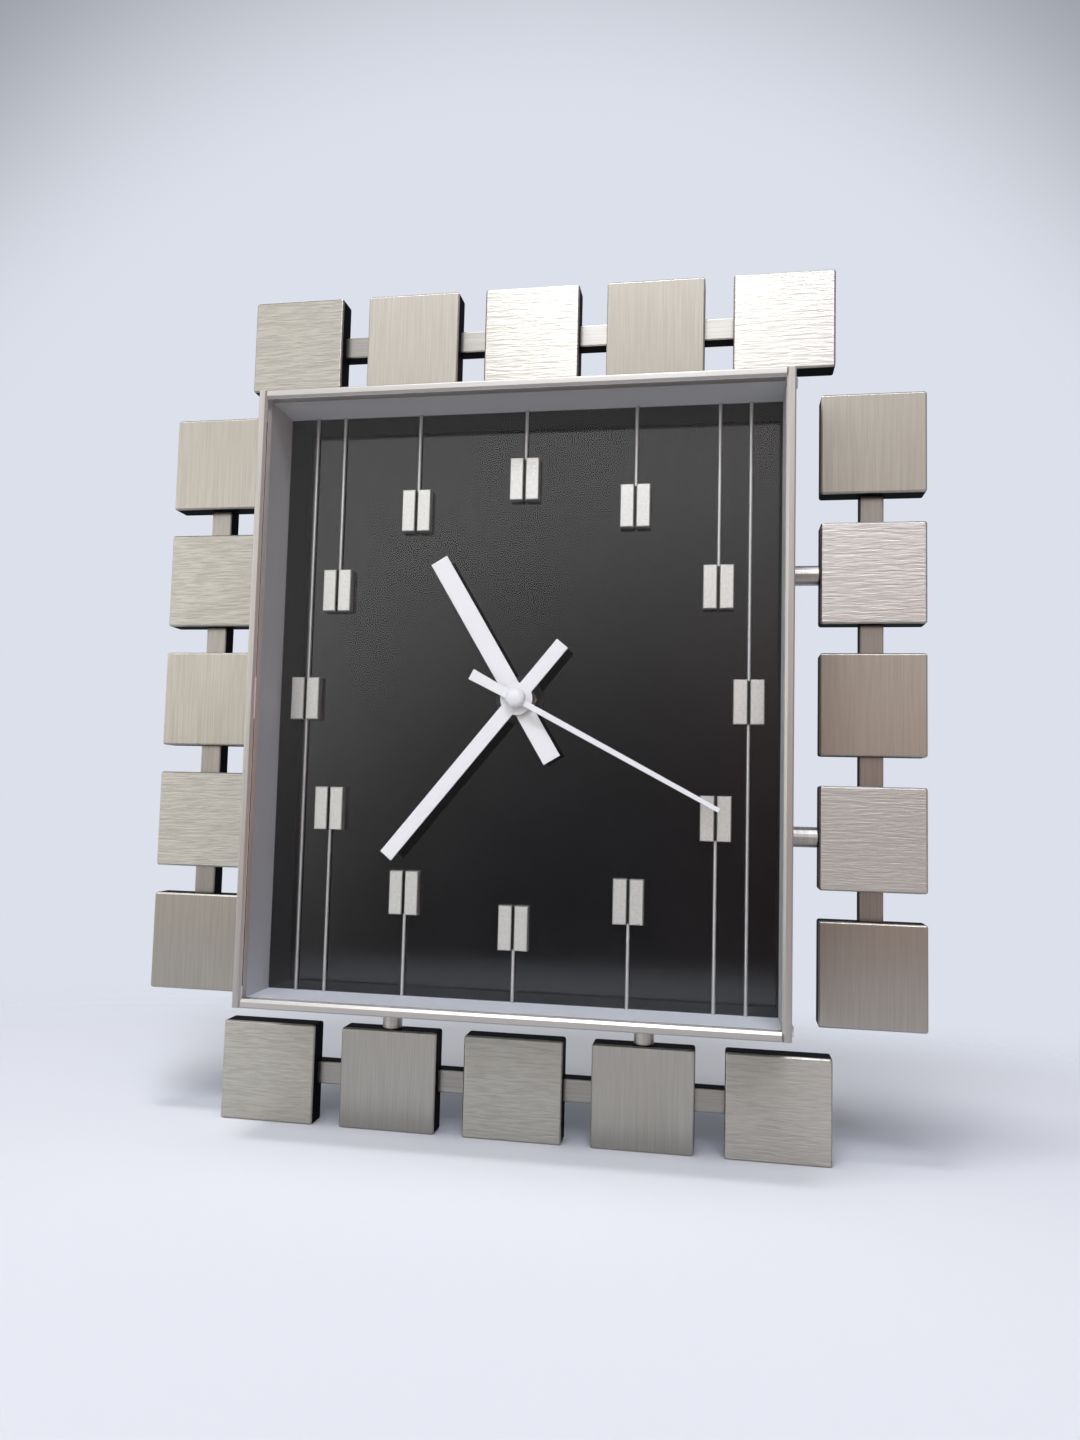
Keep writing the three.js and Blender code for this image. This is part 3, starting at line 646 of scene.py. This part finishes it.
hanger_screw = {"head_radius": 0.0028, "head_height": 0.0016, "key_radius": 0.00125}
corner_screw = {"head_radius": 0.0024, "head_height": 0.0013, "key_radius": 0.00105}
hanger_screw_places = (0.1, 0.9)
corner_screw_places = (0.25, 0.75)
hanger_thick = 0.002
low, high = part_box("hanger_plate")
bm = bmesh.new()
for share in hanger_screw_places:
    seat_x = low.x + share * (high.x - low.x)
    seat = Vector((seat_x, (low.y + high.y - hanger_thick) / 2, high.z - hanger_thick))
    button_screw(bm, seat, Vector((0, 0, -1)), **hanger_screw)
added_piece(bm, "hanger_screws", [zinc], "case")
for side, outward in (("left", Vector((-1, 0, 0))), ("right", Vector((1, 0, 0)))):
    bm = bmesh.new()
    upright_low, upright_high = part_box(f"frame_strip_{side}")
    seat_x = upright_low.x if side == "left" else upright_high.x
    for level_side in ("top", "bottom"):
        low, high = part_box(f"frame_strip_{level_side}")
        for share in corner_screw_places:
            seat = Vector((seat_x, low.y + share * (high.y - low.y), (low.z + high.z) / 2))
            button_screw(bm, seat, outward, **corner_screw)
    added_piece(bm, f"corner_screws_{side}", [zinc], "case")

# Cell: an AA cell in a plain blue film, which lies in the movement's bay. Its ends are bare
# nickel-plated steel.
cell_film = plain_metal("plain cell film", (0.10, 0.19, 0.30), (0.13, 0.23, 0.36),
                        (0.25, 0.33), cycles=300, depth=2e-6, metallic=0.6)
nickel = plain_metal("nickel plate", (0.56, 0.55, 0.52), (0.66, 0.65, 0.62),
                     (0.16, 0.26), cycles=300, depth=1e-6)
cell_edge = 0.0002
cell_smooth_angle = 50
cell_end_facing = 0.5
nub_length = 0.0012
cell_low, cell_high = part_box("battery_cell")
bm = refined("battery_cell", cell_edge, segments=3)
for face in bm.faces:
    on_nub = face.calc_center_median().x > cell_high.x - nub_length
    face.material_index = int(abs(face.normal.x) > cell_end_facing or on_nub)
cell = finished(bm, "film_wrapped_cell", [cell_film, nickel], cell_smooth_angle)
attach(cell, "case")
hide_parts("battery_cell")

# Contacts: a bent leaf of nickel-plated spring steel presses on each end of the cell. Each is
# cut from thin strip and folded to a shallow hump.
leaf_thick = 0.0003
leaf_half_width = 0.0036
leaf_half_height = 0.0064
leaf_rest = 0.0006
leaf_touch = 0.0001
leaf_bends = ((1.0, 0.0), (0.45, 0.0), (0.15, 1.0), (-0.15, 1.0), (-0.45, 0.0), (-1.0, 0.0))
leaf_smooth_angle = 60
cell_middle = (cell_low + cell_high) / 2
for end, cell_end, away in (("flat", cell_low.x, -1), ("nub", cell_high.x, 1)):
    bm = bmesh.new()
    near = cell_end + away * leaf_rest
    far = near + away * leaf_thick
    corners = [(near, -leaf_half_width), (far, -leaf_half_width),
               (far, leaf_half_width), (near, leaf_half_width)]
    top = cell_middle.y + leaf_half_height
    section = bm.faces.new([bm.verts.new((x, top, cell_middle.z + z)) for x, z in corners])
    for (height, push), (next_height, next_push) in zip(leaf_bends, leaf_bends[1:]):
        inwards = -away * (next_push - push) * (leaf_rest - leaf_touch)
        along = (next_height - height) * leaf_half_height
        section = drawn_out(bm, section, (inwards, along, 0))
    added_piece(bm, f"battery_contact_{end}", [nickel], "case", leaf_smooth_angle)

# Knob: a ridged wheel of black moulded plastic at the movement's back. It turns in a recess of
# the case and sets the hands.
knob_plastic = plastic("moulded knob", (0.030, 0.031, 0.033), (0.042, 0.043, 0.046), (0.38, 0.5))
knob_edge = 0.00012
knob = finished(refined("setting_knob", knob_edge), "moulded_knob", [knob_plastic])
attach(knob, "knob")
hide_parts("setting_knob")
